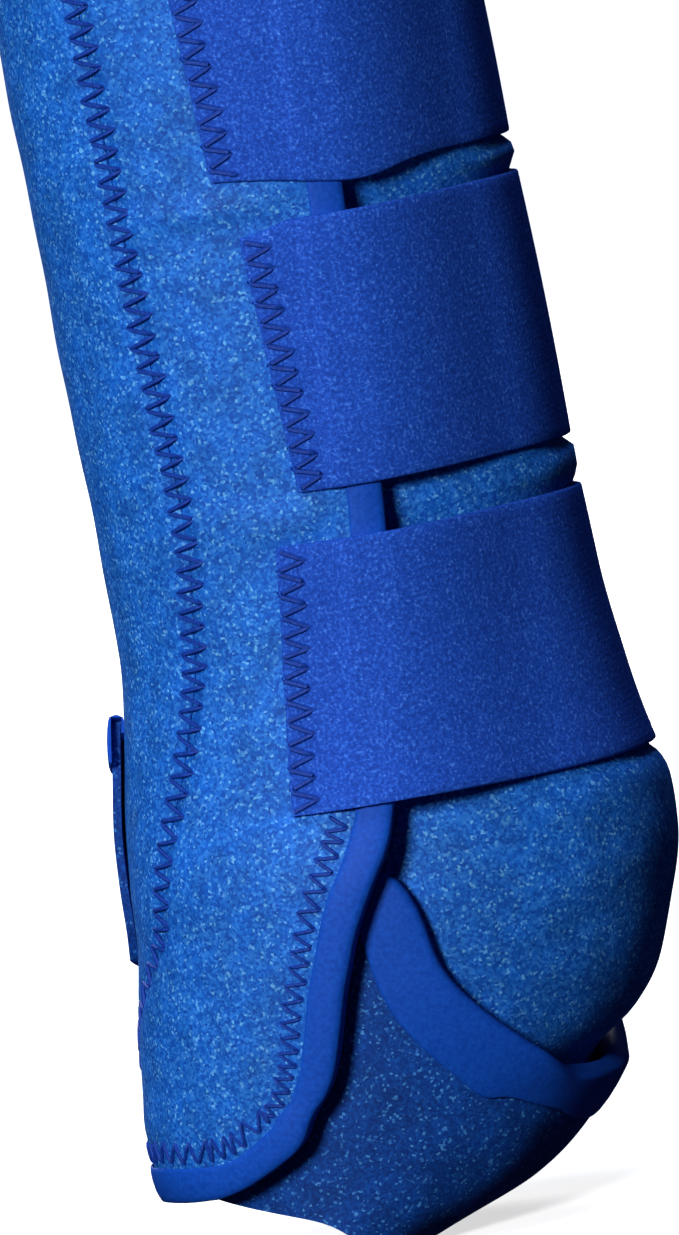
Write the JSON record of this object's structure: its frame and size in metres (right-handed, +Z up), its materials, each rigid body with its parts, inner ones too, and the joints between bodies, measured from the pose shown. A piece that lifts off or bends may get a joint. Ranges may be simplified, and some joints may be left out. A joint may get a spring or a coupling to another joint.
{
  "type": "tendon boot",
  "caption": "Glitter neoprene tendon boot for a horse: shaped shell with fetlock cup, folding front panel with tongue, wrap straps and a fetlock sling.",
  "frame": {"origin": "on the axis of the leg inside the boot, level with the lowest point of the sling", "axes": "+Z up the cannon bone, the longest way of the boot; -X the front of the leg; -Y its outer side, where the straps are sewn on"},
  "size_m": [0.1172, 0.1053, 0.2788],
  "materials": {
    "glitter_neoprene": "satin",
    "glitter_sling": "satin",
    "strap_elastic": "matte",
    "binding_tape": "matte",
    "sewing_thread": "matte",
    "soft_lining": "matte",
    "hook_tape": "matte"
  },
  "bodies": {
    "boot_shell": {"tendon_shell": "glitter_neoprene", "tendon_lining": "soft_lining", "fetlock_cup": "glitter_neoprene", "fetlock_cup_lining": "soft_lining", "front_shell": "glitter_neoprene", "front_lining": "soft_lining", "closing_panel_root": "glitter_neoprene", "top_binding": "binding_tape", "cup_binding": "binding_tape", "tongue_binding": "binding_tape", "sling_band": "glitter_sling", "sling_binding": "binding_tape", "long_seam_stitching": "sewing_thread", "tongue_stitching": "sewing_thread"},
    "closing_flap": {"closing_panel": "glitter_neoprene", "closing_panel_lining": "soft_lining", "panel_top_binding": "binding_tape", "panel_edge_binding": "binding_tape", "panel_edge_stitching": "sewing_thread", "upper_strap_root": "strap_elastic", "upper_strap_stitching": "sewing_thread", "middle_strap_root": "strap_elastic", "middle_strap_stitching": "sewing_thread", "lower_strap_root": "strap_elastic", "lower_strap_stitching": "sewing_thread"},
    "upper_strap": {"upper_strap_band": "strap_elastic"},
    "upper_strap_end": {"upper_strap_tab": "strap_elastic", "upper_hook_tape": "hook_tape"},
    "middle_strap": {"middle_strap_band": "strap_elastic"},
    "middle_strap_end": {"middle_strap_tab": "strap_elastic", "middle_hook_tape": "hook_tape"},
    "lower_strap": {"lower_strap_band": "strap_elastic"},
    "lower_strap_end": {"lower_strap_tab": "strap_elastic", "lower_hook_tape": "hook_tape"},
    "sling_end": {"sling_tab": "glitter_sling", "sling_tab_binding": "binding_tape", "sling_hook_tape": "hook_tape"}
  },
  "joints": [
    {"name": "closing_flap_fold", "type": "hinge", "parent": "boot_shell", "child": "closing_flap", "pos_m": [-0.0269, -0.0391, 0.278], "axis": [0, -0.0568, -0.9984], "range_deg": [0, 75]},
    {"name": "upper_strap_fold", "type": "hinge", "parent": "closing_flap", "child": "upper_strap", "pos_m": [0.0206, -0.0446, 0.2417], "axis": [0, 0, -1], "range_deg": [0, 70]},
    {"name": "upper_strap_end_fold", "type": "hinge", "parent": "upper_strap", "child": "upper_strap_end", "pos_m": [0.0476, 0.0059, 0.2392], "axis": [0, 0, -1], "range_deg": [0, 60]},
    {"name": "middle_strap_fold", "type": "hinge", "parent": "closing_flap", "child": "middle_strap", "pos_m": [0.01627, -0.0461, 0.1802], "axis": [0, 0, -1], "range_deg": [0, 70]},
    {"name": "middle_strap_end_fold", "type": "hinge", "parent": "middle_strap", "child": "middle_strap_end", "pos_m": [0.0477, 0.0059, 0.1775], "axis": [0, 0, -1], "range_deg": [0, 60]},
    {"name": "lower_strap_fold", "type": "hinge", "parent": "closing_flap", "child": "lower_strap", "pos_m": [0.0108, -0.0474, 0.1433], "axis": [0.0108, -0.1126, -0.9936], "range_deg": [0, 70]},
    {"name": "lower_strap_end_fold", "type": "hinge", "parent": "lower_strap", "child": "lower_strap_end", "pos_m": [0.0477, 0.0059, 0.1404], "axis": [0.0881, 0.0109, -0.996], "range_deg": [0, 60]},
    {"name": "sling_end_fold", "type": "hinge", "parent": "boot_shell", "child": "sling_end", "pos_m": [-0.0345, 0.0423, 0.063], "axis": [-0.1507, -0.0464, -0.9875], "range_deg": [0, 80]}
  ]
}
